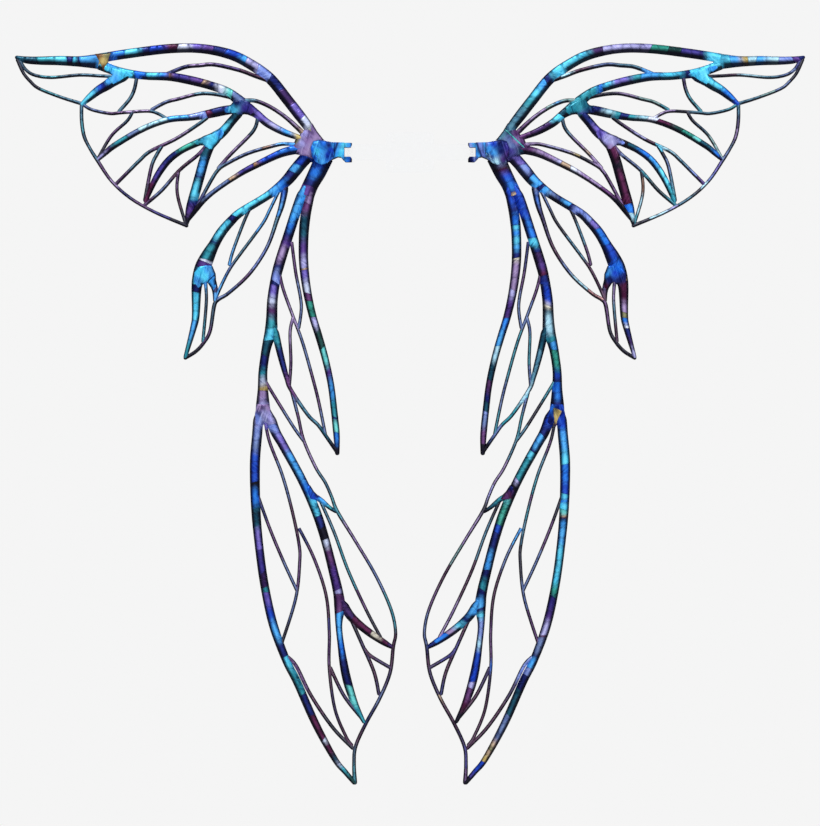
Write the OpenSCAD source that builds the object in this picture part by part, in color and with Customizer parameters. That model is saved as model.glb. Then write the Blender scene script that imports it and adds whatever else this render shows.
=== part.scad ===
// Fairy wings: two mirrored pairs of open-veined wings, hinged on a clear back yoke.
// Millimetres. +Z is up, the wearer's back is on the +Y side, and the origin is the
// middle of the yoke, halfway between the two root hinges.
// Wing shapes are drawn flat as [outward, up] and stood up by fore() and hind().

/* [Wings] */
// Thickness of every spar, front to back
spar_t = 6; // [5:0.5:7]
// Thickness of every vein and edge wire
vein_t = 4; // [3:0.5:5]
// Free gap between the forewing and the wings behind it
layer_gap = 1; // [0.6:0.2:1.6]
// Extra width that the wound film gives every ribbon
film = 0.8; // [0:0.2:1.2]
// Steps between two outline points of a ribbon
smooth_steps = 3; // [2:1:5]

/* [Hub] */
// Distance from the middle plane to each hinge pin
hinge_x = 77; // [76:0.5:78]
// Distance from the middle plane to each forewing pivot
pivot_x = 110; // [109:0.5:111]
// Radius of the forewing pivot stud
stud_r = 4; // [3:0.5:5]
// Radius of the eye that turns on the stud
eye_r = 13; // [12:0.5:14]
// Thickness of the front cover plate
cover_t = 3; // [2:0.5:4]
// Thickness of the plate behind the wing roots
back_t = 3; // [2:0.5:4]
// Radial clearance of everything that turns
running = 0.05; // [0.02:0.01:0.1]

/* [Hinge] */
// Radius of the hinge pin
pin_r = 1.5; // [1.2:0.1:2]
// Outer radius of the two clevis ears
ear_r = 4.5; // [4:0.25:4.75]
// Height of the clevis
ear_top = 11.5; // [11:0.5:12.5]
// Half the height of the slot between the ears
slot_half = 5.8; // [5:0.1:6.5]

/* [Back yoke] */
// Thickness of the clear yoke
yoke_t = 6; // [5:0.5:7]
// Height of the bar that reaches out to the hinges
bar_h = 20; // [16:1:20]
// Width of the middle plate
plate_w = 60; // [56:1:70]
// Height of the middle plate
plate_h = 50; // [46:1:60]
// Spacing of the harness bolts across the back
bolt_w = 40; // [34:1:44]
// Spacing of the harness bolts up the back
bolt_h = 30; // [26:1:34]
// Radius of the harness bolt holes
bolt_r = 2.1; // [1.6:0.1:2.7]

/* [Hidden] */
$fn = 48;
washer_t = layer_gap - 0.1;
fore_front = -(layer_gap + spar_t);
cover_back = fore_front - layer_gap;
cover_front = cover_back - cover_t;
hub_back = spar_t + back_t;
stub_x = hinge_x + ear_r + 0.5;
tongue_half = slot_half - 0.3;
tongue_eye_r = ear_r - 0.5;

// ---------------------------------------------------------------- ribbons
// A ribbon is a list of [outward, up, width], from its root to its free tip.
function blend_point(a, b, c, d, t) =
    0.5 * (2 * b + (c - a) * t + (2 * a - 5 * b + 4 * c - d) * t * t
        + (3 * b - a - 3 * c + d) * t * t * t);
function smooth(path) = let (last = len(path) - 1) concat(
    [for (i = [0 : last - 1]) for (k = [0 : smooth_steps - 1])
        blend_point(path[max(i - 1, 0)], path[i], path[i + 1],
            path[min(i + 2, last)], k / smooth_steps)],
    [path[last]]);
function heading(path, i) = let (
    a = path[max(i - 1, 0)],
    b = path[min(i + 1, len(path) - 1)],
    d = [b.x - a.x, b.y - a.y]) d / norm(d);
function edge(path, side) = [for (i = [0 : len(path) - 1])
    let (d = heading(path, i))
        [path[i].x, path[i].y] + side * (path[i].z + film) / 2 * [-d.y, d.x]];
function backwards(v) = [for (i = [len(v) - 1 : -1 : 0]) v[i]];

// The half round end of a ribbon whose tip is narrow
function round_tip(path) = let (
    last = len(path) - 1,
    tip = path[last],
    d = heading(path, last),
    r = (tip.z + film) / 2)
    tip.z >= 7 ? [] : [for (a = [60, 30, 0, -30, -60])
        [tip.x, tip.y] + r * (cos(a) * d + sin(a) * [-d.y, d.x])];

module ribbon(path) {
    fine = smooth(path);
    polygon(concat(edge(fine, 1), round_tip(fine), backwards(edge(fine, -1))));
}

// One ribbon of a wing, cut back where an earlier one of the same wing crosses it
module piece(wing, i) {
    difference() {
        ribbon(wing[i]);
        for (k = [0 : 1 : i - 1]) ribbon(wing[k]);
        children();
    }
}

// Stand a flat shape up between two depths
module stand(y0, y1) {
    translate([0, y1, 0]) rotate([90, 0, 0]) linear_extrude(height = y1 - y0) children();
}
module fore(t) { mid = fore_front + spar_t / 2; stand(mid - t / 2, mid + t / 2) children(); }
module hind(t) { mid = spar_t / 2; stand(mid - t / 2, mid + t / 2) children(); }
module left() { mirror([1, 0, 0]) children(); }
module right() { children(); }

// ---------------------------------------------------------------- forewing
tip_spar = [[379, 113, 21], [394, 113, 17], [413, 113, 12.5], [438, 114, 11], [463, 114, 9.5],
    [480, 115, 8], [491, 118, 4]];
leading_spar = [[123, 25, 11], [129, 34, 12], [139, 47, 13], [153, 65, 13], [175, 92, 13],
    [200, 110, 12.5], [225, 122, 12], [260, 129, 11], [300, 129, 11], [350, 123, 11],
    [388, 117, 11]];
mid_spar = [[136, 17, 6], [158, 25, 8], [178, 36, 9.5], [191, 47, 10], [203, 55, 14],
    [213, 64, 13], [228, 75, 10.5], [246, 82, 10], [272, 89, 10.5], [300, 94, 10],
    [330, 95, 9], [363, 100, 11], [388, 109, 12]];
wrist_spur = [[350, 96, 9], [368, 90, 13], [379, 83, 12], [389, 77, 10.5], [399, 69, 8.5],
    [409, 60, 5]];
fan_spar_upper = [[205, 55, 8], [230, 52, 11], [253, 47, 10], [275, 43, 7.5], [303, 40, 7],
    [335, 28, 7], [369, 8, 7], [380, -1, 6], [389, -9, 4]];
fan_spar_middle = [[207, 56, 10], [223, 38, 10.5], [233, 26, 11.5], [243, 19, 13],
    [256, 15, 9], [271, 9, 8], [285, 2, 7.5], [299, -8, 8], [310, -21, 8], [320, -38, 7],
    [330, -61, 5]];
fan_spar_lower = [[243, 20, 10], [251, 6, 12], [257, -10, 12], [262, -28, 12],
    [267, -46, 12], [271, -60, 12], [275, -73, 10], [279, -90, 4]];
root_spar = [[137, 4, 11], [156, 0, 10], [173, -7, 8.5], [203, -22, 7], [218, -31, 6],
    [233, -41, 5.5], [248, -52, 5.5], [259, -62, 6], [269, -74, 6], [278, -86, 4]];
fan_edge = [[410, 62, 4], [410, 40, 4], [407, 20, 4], [400, 5, 3.5], [390, -11, 4],
    [373, -36, 3.5], [350, -57, 3.5], [319, -75, 3.5], [279, -92, 4]];
tip_edge = [[409, 60, 4], [435, 68, 3.5], [463, 79, 3.5], [474, 88, 3.5], [483, 99, 3.5],
    [490, 115, 4]];
tip_inner = [[366, 94, 3.5], [388, 95, 3.5], [413, 96, 3.5], [448, 93, 3.5], [469, 96, 3.5],
    [480, 103, 3.5], [487, 114, 3.5]];
fan_cross = [[303, 41, 3.5], [315, 48, 3.5], [328, 51, 3.5], [360, 49, 3.5], [375, 48, 3.5],
    [398, 53, 3.5], [409, 60, 3.5]];
upper_arch = [[177, 89, 4.5], [194, 95, 4.5], [213, 102, 4.5], [244, 109, 4.5],
    [263, 108, 4.5], [281, 106, 4.5], [304, 97, 4.5]];
upper_return = [[131, 21, 6], [149, 38, 5], [163, 49, 4.5], [178, 58, 4.5], [194, 64, 4.5],
    [210, 64, 4.5]];
fan_vein_upper = [[253, 43, 4], [265, 34, 4], [293, 16, 4], [324, 1, 4], [338, -11, 4],
    [353, -26, 4], [367, -40, 4]];
fan_vein_middle = [[252, 11, 4], [264, -3, 4], [288, -23, 4], [310, -48, 4], [331, -66, 4]];
root_vein = [[138, 9, 4], [156, 10, 4], [169, 8, 4], [203, -2, 4], [231, -16, 4],
    [240, -23, 4], [248, -35, 4], [266, -68, 4]];
wrist_vein = [[341, 95, 4], [344, 79, 4], [350, 66, 4], [363, 51, 4]];
cross_vein = [[346, 51, 3.5], [353, 39, 3.5], [373, 20, 3.5], [390, -9, 3.5]];
elbow_vein = [[213, 62, 4], [228, 69, 4], [259, 73, 4], [290, 66, 4], [305, 62, 4],
    [322, 53, 4]];
fan_branch_upper = [[310, 7, 4], [316, -3, 4], [323, -19, 4], [331, -60, 4]];
fan_branch_middle = [[289, -25, 3.5], [291, -43, 3.5], [289, -60, 3.5], [280, -90, 3.5]];
root_branch = [[190, 43, 4], [193, 31, 4], [201, 20, 4], [224, -3, 4], [239, -20, 4]];
FOREWING = [tip_spar, leading_spar, mid_spar, wrist_spur, fan_edge, fan_spar_upper,
    fan_spar_middle, fan_spar_lower, root_spar, tip_edge, tip_inner, fan_cross, upper_arch,
    upper_return, fan_vein_upper, fan_vein_middle, root_vein, wrist_vein, cross_vein,
    elbow_vein, fan_branch_upper, fan_branch_middle, root_branch];
// Places in FOREWING of what each grouped node holds
branch_ribbons = [3, 7];
long_vein_ribbons = [10, 11, 12, 13, 14, 15, 16];
short_vein_ribbons = [9, 17, 18, 19, 20, 21, 22];

module eye_shape() {
    translate([pivot_x, 0]) circle(r = eye_r);
}
module root_fan_shape() {
    polygon([[103, 12], [109, 17], [116, 26], [122, 36], [134, 26], [143, 16], [147, 6],
        [143, -3], [130, -5], [118, -10]]);
}
module forewing_ribbons(numbers, t) {
    for (i = numbers) fore(t) piece(FOREWING, i) {
        root_fan_shape();
        eye_shape();
    }
}
module forewing_root_plate() {
    color("mediumpurple") difference() {
        union() {
            fore(spar_t) root_fan_shape();
            fore(spar_t) eye_shape();
        }
        translate([pivot_x, fore_front - 1, 0]) rotate([-90, 0, 0])
            cylinder(r = stud_r + running, h = spar_t + 2);
    }
}
module forewing_tip_spar() { color("deepskyblue") forewing_ribbons([0], spar_t); }
module forewing_leading_spar() { color("royalblue") forewing_ribbons([1], spar_t); }
module forewing_mid_spar() { color("dodgerblue") forewing_ribbons([2], spar_t); }
module forewing_fan_spar_upper() { color("teal") forewing_ribbons([5], spar_t); }
module forewing_fan_spar_middle() { color("mediumslateblue") forewing_ribbons([6], spar_t); }
module forewing_branch_spars() { color("midnightblue") forewing_ribbons(branch_ribbons, spar_t); }
module forewing_root_spar() { color("slateblue") forewing_ribbons([8], spar_t); }
module forewing_edge_wire() { color("cadetblue") forewing_ribbons([4], vein_t); }
module forewing_long_veins() { color("darkslateblue") forewing_ribbons(long_vein_ribbons, vein_t); }
module forewing_short_veins() { color("darkcyan") forewing_ribbons(short_vein_ribbons, vein_t); }

// ---------------------------------------------------------------- midwing and tail
tail_trunk_path = [[107, -6, 22], [116, -25, 21], [124, -40, 19], [130, -54, 20]];
tail_upper = [[131, -42, 11], [139, -63, 12], [151, -100, 12], [163, -138, 12.5],
    [168, -158, 12], [172, -184, 12.5], [173, -208, 13.5], [174, -224, 15], [178, -238, 12],
    [181, -252, 10.5], [184, -275, 10.5], [184, -297, 12.5], [184, -318, 17],
    [183, -335, 20]];
tail_inner = [[122, -42, 10], [127, -62, 11], [131, -82, 12], [133, -105, 11.5],
    [133, -138, 11], [129, -172, 10], [122, -204, 9], [114, -230, 8.5], [106, -258, 8],
    [99, -290, 7.5], [95, -322, 7.5], [92, -352, 7.5], [91, -376, 5]];
tail_outer = [[189, -322, 12], [191, -350, 12], [194, -390, 12], [193, -443, 11],
    [189, -490, 10], [182, -541, 10], [171, -591, 10.5], [155, -635, 9.5],
    [141, -663, 9.5], [118, -715, 9], [94, -759, 7], [81, -775, 6], [70, -788, 5]];
tail_lower = [[178, -322, 13], [169, -348, 12], [159, -366, 11], [136, -408, 10.5],
    [118, -448, 11], [106, -485, 10.5], [96, -524, 11], [90, -550, 12], [88, -568, 13],
    [89, -590, 8], [87, -612, 7.5], [82, -645, 10], [76, -670, 10], [68, -692, 7.5],
    [58, -712, 4]];
tail_middle_branch = [[170, -218, 9], [164, -245, 8], [159, -265, 7], [154, -283, 5.5],
    [149, -297, 4.5], [128, -328, 4], [115, -341, 4], [105, -355, 4], [91, -375, 4.5]];
tail_low_branch = [[86, -560, 11], [76, -578, 10.5], [63, -591, 9.5], [49, -602, 9],
    [34, -612, 7.5], [24, -618, 5]];
tail_bridge = [[128, -426, 7.5], [113, -434, 6], [101, -444, 4.5], [93, -449, 4]];
midwing_path = [[118, 6, 16], [134, -11, 15], [144, -23, 15], [153, -34, 14],
    [163, -43, 12], [181, -56, 9.5], [212, -75, 10], [225, -87, 11], [236, -100, 12],
    [245, -115, 13], [253, -130, 17], [259, -143, 19], [264, -156, 16], [267, -170, 12],
    [268, -204, 9], [271, -220, 7.5], [281, -256, 4]];
head_spur = [[254, -138, 12], [249, -156, 10], [244, -172, 7], [244, -185, 4]];
tail_edge = [[148, -299, 4], [140, -330, 3.5], [133, -360, 3.5], [118, -394, 3.5],
    [106, -413, 3.5], [98, -431, 3.5], [91, -449, 4], [69, -485, 3.5], [43, -529, 3.5],
    [24, -571, 3.5], [18, -600, 3.5], [21, -619, 4], [25, -651, 4], [38, -683, 4],
    [55, -714, 4], [68, -743, 4], [70, -765, 4], [69, -788, 5]];
midwing_edge = [[155, -37, 9], [160, -64, 7], [166, -83, 5], [179, -119, 4],
    [201, -152, 4], [227, -176, 4], [240, -184, 4.5], [245, -192, 4.5], [250, -223, 4],
    [258, -238, 4], [268, -249, 4], [281, -257, 4]];
tail_vein_upper = [[163, -153, 3.5], [158, -173, 3.5], [146, -206, 3.5], [134, -239, 3.5],
    [121, -285, 3.5], [114, -313, 3.5], [106, -352, 3.5]];
tail_vein_bridge = [[113, -434, 3.5], [95, -475, 3.5], [77, -524, 3.5], [54, -574, 3.5],
    [37, -606, 3.5]];
tail_vein_outer = [[182, -330, 3.5], [176, -361, 3.5], [160, -403, 3.5], [148, -446, 3.5],
    [139, -489, 3.5], [138, -513, 3.5], [143, -558, 3.5], [161, -616, 3.5]];
tail_vein_foot = [[153, -631, 4], [142, -643, 4], [124, -679, 4], [97, -719, 4],
    [72, -745, 4]];
tail_vein_low = [[77, -577, 4], [60, -615, 4], [45, -650, 4], [39, -677, 4]];
tail_vein_long = [[139, -470, 3.5], [120, -508, 3.5], [105, -554, 3.5], [101, -600, 3.5],
    [101, -645, 3.5], [94, -696, 3.5], [80, -731, 3.5], [73, -741, 3.5]];
tail_vein_short = [[100, -644, 4], [83, -679, 4], [62, -706, 4]];
tail_twig_upper = [[148, -112, 3.5], [143, -150, 3.5], [136, -190, 3.5], [139, -219, 3.5]];
tail_twig_middle = [[146, -206, 3.5], [150, -225, 3.5], [149, -263, 3.5], [151, -293, 3.5]];
tail_twig_cross = [[181, -286, 3.5], [169, -306, 3.5], [146, -343, 3.5], [133, -361, 3.5]];
tail_twig_outer = [[190, -430, 3.5], [176, -469, 3.5], [159, -510, 3.5], [142, -547, 3.5]];
tail_twig_low = [[57, -621, 4], [49, -630, 4], [24, -645, 4]];
midwing_vein_long = [[162, -44, 3.5], [175, -71, 3.5], [185, -90, 3.5], [213, -128, 3.5],
    [225, -145, 3.5], [234, -162, 3.5], [243, -182, 3.5]];
midwing_vein_tip = [[257, -152, 5], [255, -173, 3.5], [255, -191, 3.5], [259, -236, 3.5]];
midwing_twig = [[197, -64, 3.5], [207, -85, 3.5], [221, -122, 3.5], [226, -140, 3.5]];
HINDWING = [tail_trunk_path, tail_upper, tail_inner, tail_outer, tail_middle_branch,
    tail_edge, tail_lower, tail_low_branch, tail_bridge, midwing_path, midwing_edge,
    head_spur, tail_vein_upper, tail_vein_bridge, tail_vein_outer, tail_vein_foot,
    tail_vein_low, tail_vein_long, tail_vein_short, tail_twig_upper, tail_twig_middle,
    tail_twig_cross, tail_twig_outer, tail_twig_low, midwing_vein_long, midwing_vein_tip,
    midwing_twig];
// Places in HINDWING of what each grouped node holds
tail_branch_ribbons = [4, 7, 8];
tail_long_ribbons = [12, 13, 14, 15, 16, 18];
tail_short_ribbons = [17, 19, 20, 21, 22, 23];
spur_ribbons = [11, 26];
midwing_vein_ribbons = [24, 25];
// Screws that hold the tail trunk and the midwing spar to the hub
TAIL_SCREWS = [[111, -18], [119, -31]];
MIDWING_SCREWS = [[124, 1], [130, -6]];
screw_r = 1.25;
screw_depth = 4.5;

module screw_holes(spots) {
    for (p = spots)
        translate([p.x, spar_t - screw_depth, p.y]) rotate([-90, 0, 0])
            cylinder(r = screw_r, h = screw_depth + back_t + 1, $fn = 24);
}
module hind_ribbons(numbers, t) {
    for (i = numbers) hind(t) piece(HINDWING, i) eye_shape();
}
module midwing_spar() {
    color("steelblue") difference() {
        hind_ribbons([9], spar_t);
        screw_holes(MIDWING_SCREWS);
    }
}
module midwing_spurs() { color("royalblue") hind_ribbons(spur_ribbons, vein_t); }
module midwing_edge_wire() { color("slategray") hind_ribbons([10], vein_t); }
module midwing_veins() { color("darkslateblue") hind_ribbons(midwing_vein_ribbons, vein_t); }
module tail_trunk() {
    color("navy") difference() {
        hind_ribbons([0], spar_t);
        screw_holes(TAIL_SCREWS);
    }
}
module tail_upper_spar() { color("dodgerblue") hind_ribbons([1], spar_t); }
module tail_inner_spar() { color("mediumpurple") hind_ribbons([2], spar_t); }
module tail_outer_spar() { color("royalblue") hind_ribbons([3], spar_t); }
module tail_lower_spar() { color("cornflowerblue") hind_ribbons([6], spar_t); }
module tail_branch_spars() { color("indigo") hind_ribbons(tail_branch_ribbons, spar_t); }
module tail_edge_wire() { color("dimgray") hind_ribbons([5], vein_t); }
module tail_long_veins() { color("darkslateblue") hind_ribbons(tail_long_ribbons, vein_t); }
module tail_short_veins() { color("darkcyan") hind_ribbons(tail_short_ribbons, vein_t); }

// ---------------------------------------------------------------- hub
hub_outline = [[stub_x, 11.5], [97, 12], [108, 15], [118, 15], [126, 9], [133, 2],
    [136, -4], [129, -12], [122, -12], [124, -21], [127, -31], [115, -36], [108, -26],
    [102, -15], [97, -9], [90, -6], [stub_x, -7]];
cover_outline = [[94, 11.5], [104, 13.5], [114, 15], [121, 13], [124, 5], [123, -5],
    [118, -13], [110, -16.5], [103, -14], [97, -9], [94, -7.5]];

module stub_shape() {
    polygon([[stub_x, ear_top], [94, ear_top], [94, -7.5], [90, -6], [86, -6.5],
        [stub_x, -ear_top]]);
}
module web_shape() {
    difference() {
        polygon([[stub_x, ear_top], [97, 12], [104, 13.5], [104, -14], [97, -9], [90, -6],
            [86, -6.5], [stub_x, -ear_top]]);
        translate([pivot_x, 0]) circle(r = eye_r + 0.6);
        translate([pivot_x - 8, -30]) square(60);
        ribbon(tail_trunk_path);
    }
}
// One clevis ear between two heights
module ear(z0, z1) {
    difference() {
        translate([0, 0, z0]) linear_extrude(height = z1 - z0) {
            translate([hinge_x, 0]) circle(r = ear_r);
            translate([hinge_x, -ear_r]) square([stub_x + 1 - hinge_x, 2 * ear_r]);
        }
        translate([hinge_x, 0, -20]) cylinder(r = pin_r + running, h = 40);
    }
}
// What is cut off the clevis so that it ends like a forked tail: a flared mouth between the
// ears, a blunt lower tip, and a slant under the lower ear
module fork_cuts() {
    tip_x = hinge_x - ear_r;
    flare = 1.9;
    wall_x = hinge_x + pin_r + 1.2;
    low = -ear_top - 2;
    stand(-20, 20) {
        polygon([[tip_x - 1, ear_top - 0.6], [tip_x - 1, -ear_top + flare],
            [tip_x + flare, 0.1 - slot_half], [tip_x + flare, slot_half - 0.1]]);
        polygon([[tip_x - 1, low + flare], [tip_x - 1, low], [tip_x + flare, low]]);
        polygon([[wall_x, low], [86.5, -6.2], [90, low]]);
    }
}
module root_hub() {
    color("lightsteelblue") difference() {
        union() {
            stand(spar_t, hub_back) polygon(hub_outline);
            stand(0, spar_t) eye_shape();
            stand(0, spar_t) web_shape();
            stand(cover_back, spar_t) web_shape();
            stand(cover_back - 2, hub_back) stub_shape();
            ear(slot_half, ear_top);
            ear(-ear_top - 1, -slot_half);
        }
        translate([pivot_x, -1, 0]) rotate([-90, 0, 0]) cylinder(r = stud_r, h = 20);
        fork_cuts();
        screw_holes(concat(TAIL_SCREWS, MIDWING_SCREWS));
    }
}
module hub_front_plate() {
    color("mediumblue") difference() {
        stand(cover_front, cover_back) polygon(cover_outline);
        translate([pivot_x, cover_back - 2, 0]) rotate([-90, 0, 0])
            cylinder(r = stud_r - 1.5, h = 3);
    }
}
module pivot_stud() {
    head_r = 7;
    head_t = 2.5;
    slot_w = 2;
    color("gray") difference() {
        translate([pivot_x, 0, 0]) rotate([-90, 0, 0]) union() {
            translate([0, 0, cover_back]) cylinder(r = stud_r, h = hub_back - cover_back);
            translate([0, 0, cover_back - 2]) cylinder(r = stud_r - 1.5, h = 3);
            translate([0, 0, hub_back]) cylinder(r = head_r, h = head_t);
        }
        translate([pivot_x - slot_w / 2, hub_back + 1.3, -head_r - 1])
            cube([slot_w, head_t, 2 * head_r + 2]);
    }
}
module friction_washers() {
    outer_r = 10;
    color("whitesmoke") for (y = [-washer_t, cover_back])
        stand(y, y + washer_t) translate([pivot_x, 0]) difference() {
            circle(r = outer_r);
            circle(r = stud_r);
        }
}
module hub_screws() {
    color("silver") for (p = concat(TAIL_SCREWS, MIDWING_SCREWS))
        translate([p.x, 0, p.y]) rotate([-90, 0, 0]) {
            translate([0, 0, spar_t - screw_depth])
                cylinder(r = screw_r, h = screw_depth + back_t, $fn = 24);
            difference() {
                translate([0, 0, hub_back]) cylinder(r = 2.4, h = 1.5, $fn = 24);
                translate([-0.3, -3, hub_back + 0.9]) cube([0.6, 6, 1]);
            }
        }
}

// ---------------------------------------------------------------- yoke and hinge
bar_end = hinge_x - ear_r - 1;
module back_yoke() {
    color([0.85, 0.93, 1, 0.35]) difference() {
        union() {
            stand(-yoke_t / 2, yoke_t / 2) union() {
                square([2 * bar_end, bar_h], center = true);
                square([plate_w - 12, plate_h], center = true);
                square([plate_w, plate_h - 12], center = true);
                for (x = [-1, 1], z = [-1, 1])
                    translate([x * (plate_w / 2 - 6), z * (plate_h / 2 - 6)]) circle(r = 6);
            }
            for (side = [-1, 1])
                translate([0, 0, -tongue_half]) linear_extrude(height = 2 * tongue_half) {
                    translate([side * hinge_x, 0]) circle(r = tongue_eye_r);
                    translate([side * (hinge_x + bar_end - 2) / 2, 0])
                        square([hinge_x - bar_end + 2, yoke_t], center = true);
                }
        }
        for (side = [-1, 1])
            translate([side * hinge_x, 0, -20]) cylinder(r = pin_r, h = 40);
        for (x = [-1, 1], z = [-1, 1])
            translate([x * bolt_w / 2, -10, z * bolt_h / 2]) rotate([-90, 0, 0])
                cylinder(r = bolt_r, h = 20);
    }
}
module hinge_pins() {
    head_gap = 0.3;
    color("silver") for (side = [-1, 1]) translate([side * hinge_x, 0, 0]) {
        translate([0, 0, -ear_top]) cylinder(r = pin_r, h = 2 * ear_top + head_gap);
        translate([0, 0, ear_top + head_gap]) cylinder(r = pin_r + 1, h = 0.8);
    }
}

back_yoke();
hinge_pins();
left() root_hub();  // left_root_hub
right() root_hub();  // right_root_hub
left() hub_front_plate();  // left_hub_front_plate
right() hub_front_plate();  // right_hub_front_plate
left() pivot_stud();  // left_pivot_stud
right() pivot_stud();  // right_pivot_stud
left() friction_washers();  // left_friction_washers
right() friction_washers();  // right_friction_washers
left() hub_screws();  // left_hub_screws
right() hub_screws();  // right_hub_screws
left() forewing_root_plate();  // left_forewing_root_plate
right() forewing_root_plate();  // right_forewing_root_plate
left() forewing_tip_spar();  // left_forewing_tip_spar
right() forewing_tip_spar();  // right_forewing_tip_spar
left() forewing_leading_spar();  // left_forewing_leading_spar
right() forewing_leading_spar();  // right_forewing_leading_spar
left() forewing_mid_spar();  // left_forewing_mid_spar
right() forewing_mid_spar();  // right_forewing_mid_spar
left() forewing_fan_spar_upper();  // left_forewing_fan_spar_upper
right() forewing_fan_spar_upper();  // right_forewing_fan_spar_upper
left() forewing_fan_spar_middle();  // left_forewing_fan_spar_middle
right() forewing_fan_spar_middle();  // right_forewing_fan_spar_middle
left() forewing_branch_spars();  // left_forewing_branch_spars
right() forewing_branch_spars();  // right_forewing_branch_spars
left() forewing_root_spar();  // left_forewing_root_spar
right() forewing_root_spar();  // right_forewing_root_spar
left() forewing_edge_wire();  // left_forewing_edge_wire
right() forewing_edge_wire();  // right_forewing_edge_wire
left() forewing_long_veins();  // left_forewing_long_veins
right() forewing_long_veins();  // right_forewing_long_veins
left() forewing_short_veins();  // left_forewing_short_veins
right() forewing_short_veins();  // right_forewing_short_veins
left() midwing_spar();  // left_midwing_spar
right() midwing_spar();  // right_midwing_spar
left() midwing_spurs();  // left_midwing_spurs
right() midwing_spurs();  // right_midwing_spurs
left() midwing_edge_wire();  // left_midwing_edge_wire
right() midwing_edge_wire();  // right_midwing_edge_wire
left() midwing_veins();  // left_midwing_veins
right() midwing_veins();  // right_midwing_veins
left() tail_trunk();  // left_tail_trunk
right() tail_trunk();  // right_tail_trunk
left() tail_upper_spar();  // left_tail_upper_spar
right() tail_upper_spar();  // right_tail_upper_spar
left() tail_inner_spar();  // left_tail_inner_spar
right() tail_inner_spar();  // right_tail_inner_spar
left() tail_outer_spar();  // left_tail_outer_spar
right() tail_outer_spar();  // right_tail_outer_spar
left() tail_lower_spar();  // left_tail_lower_spar
right() tail_lower_spar();  // right_tail_lower_spar
left() tail_branch_spars();  // left_tail_branch_spars
right() tail_branch_spars();  // right_tail_branch_spars
left() tail_edge_wire();  // left_tail_edge_wire
right() tail_edge_wire();  // right_tail_edge_wire
left() tail_long_veins();  // left_tail_long_veins
right() tail_long_veins();  // right_tail_long_veins
left() tail_short_veins();  // left_tail_short_veins
right() tail_short_veins();  // right_tail_short_veins
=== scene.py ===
"""Fairy wings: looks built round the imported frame. Metres, same frame as the CAD."""
import math
import random

import bpy
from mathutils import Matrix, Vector, geometry


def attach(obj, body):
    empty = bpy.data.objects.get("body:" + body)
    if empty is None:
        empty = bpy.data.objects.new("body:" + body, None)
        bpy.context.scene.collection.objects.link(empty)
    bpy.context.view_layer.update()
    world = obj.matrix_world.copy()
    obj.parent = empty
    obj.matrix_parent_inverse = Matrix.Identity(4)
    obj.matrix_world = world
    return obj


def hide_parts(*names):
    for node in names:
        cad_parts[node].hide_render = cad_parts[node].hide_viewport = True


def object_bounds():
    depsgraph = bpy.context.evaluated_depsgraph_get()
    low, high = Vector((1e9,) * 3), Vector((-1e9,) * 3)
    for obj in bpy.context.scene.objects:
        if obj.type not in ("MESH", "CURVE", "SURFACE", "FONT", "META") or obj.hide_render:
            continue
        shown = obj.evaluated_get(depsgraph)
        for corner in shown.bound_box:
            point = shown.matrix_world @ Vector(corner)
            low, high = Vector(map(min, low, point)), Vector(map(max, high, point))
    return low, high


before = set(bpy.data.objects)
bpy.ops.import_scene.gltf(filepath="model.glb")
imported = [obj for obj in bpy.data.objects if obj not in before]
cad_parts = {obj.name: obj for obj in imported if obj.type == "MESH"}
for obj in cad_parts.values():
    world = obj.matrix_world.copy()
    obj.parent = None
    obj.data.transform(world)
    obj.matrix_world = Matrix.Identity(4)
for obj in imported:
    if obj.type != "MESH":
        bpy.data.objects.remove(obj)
cad_low, cad_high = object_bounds()

# Lengths of the film in mm
MM = 0.001
WRAP = 0.8  # how much wider a film sleeve is than its spar
SPAR_DEEP, VEIN_DEEP = 3.2, 2.3  # how far a sleeve reaches from its layer, either way
FORE_MID, HIND_MID = -4.0, 3.0  # middle depth of the two layers
FRONT_MID = -8.0  # depth of the flat back of the front plates' film
WEB_BACK, WEB_EDGE = 3.3, 3.2  # how far a web reaches behind its layer, and its edge radius
HUB_FROM, HUB_SPAN = 70, 70  # where the bands of the root hub begin, and how long they are
AROUND = 20  # points round a sleeve
EDGE_ROWS, GRID = (0.35, 0.8, 1.5), 1.7  # points of a domed plate: rows along its edge, grid inside
CELL, COVER = 14.0, {}  # what lies where, by squares of the wing

# The studio in metres: floor, and how tall a piece of the world the camera sees
FLOOR_R, FLOOR_Z = 3.2, -1.35
VIEW_TALL = 1.0325

# ------------------------------------------------------------------ routes and colour bands
def read_ribbon(text):
    """(CAD node without its side, name, route, right bands, left bands) of one paragraph."""
    names, path, right, left = text.split("|")
    *width, places = path.split(":")
    route = [tuple(map(float, (*place.split(), *width))) for place in places.split(",")]
    return *names.split(), route, right, left


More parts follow.
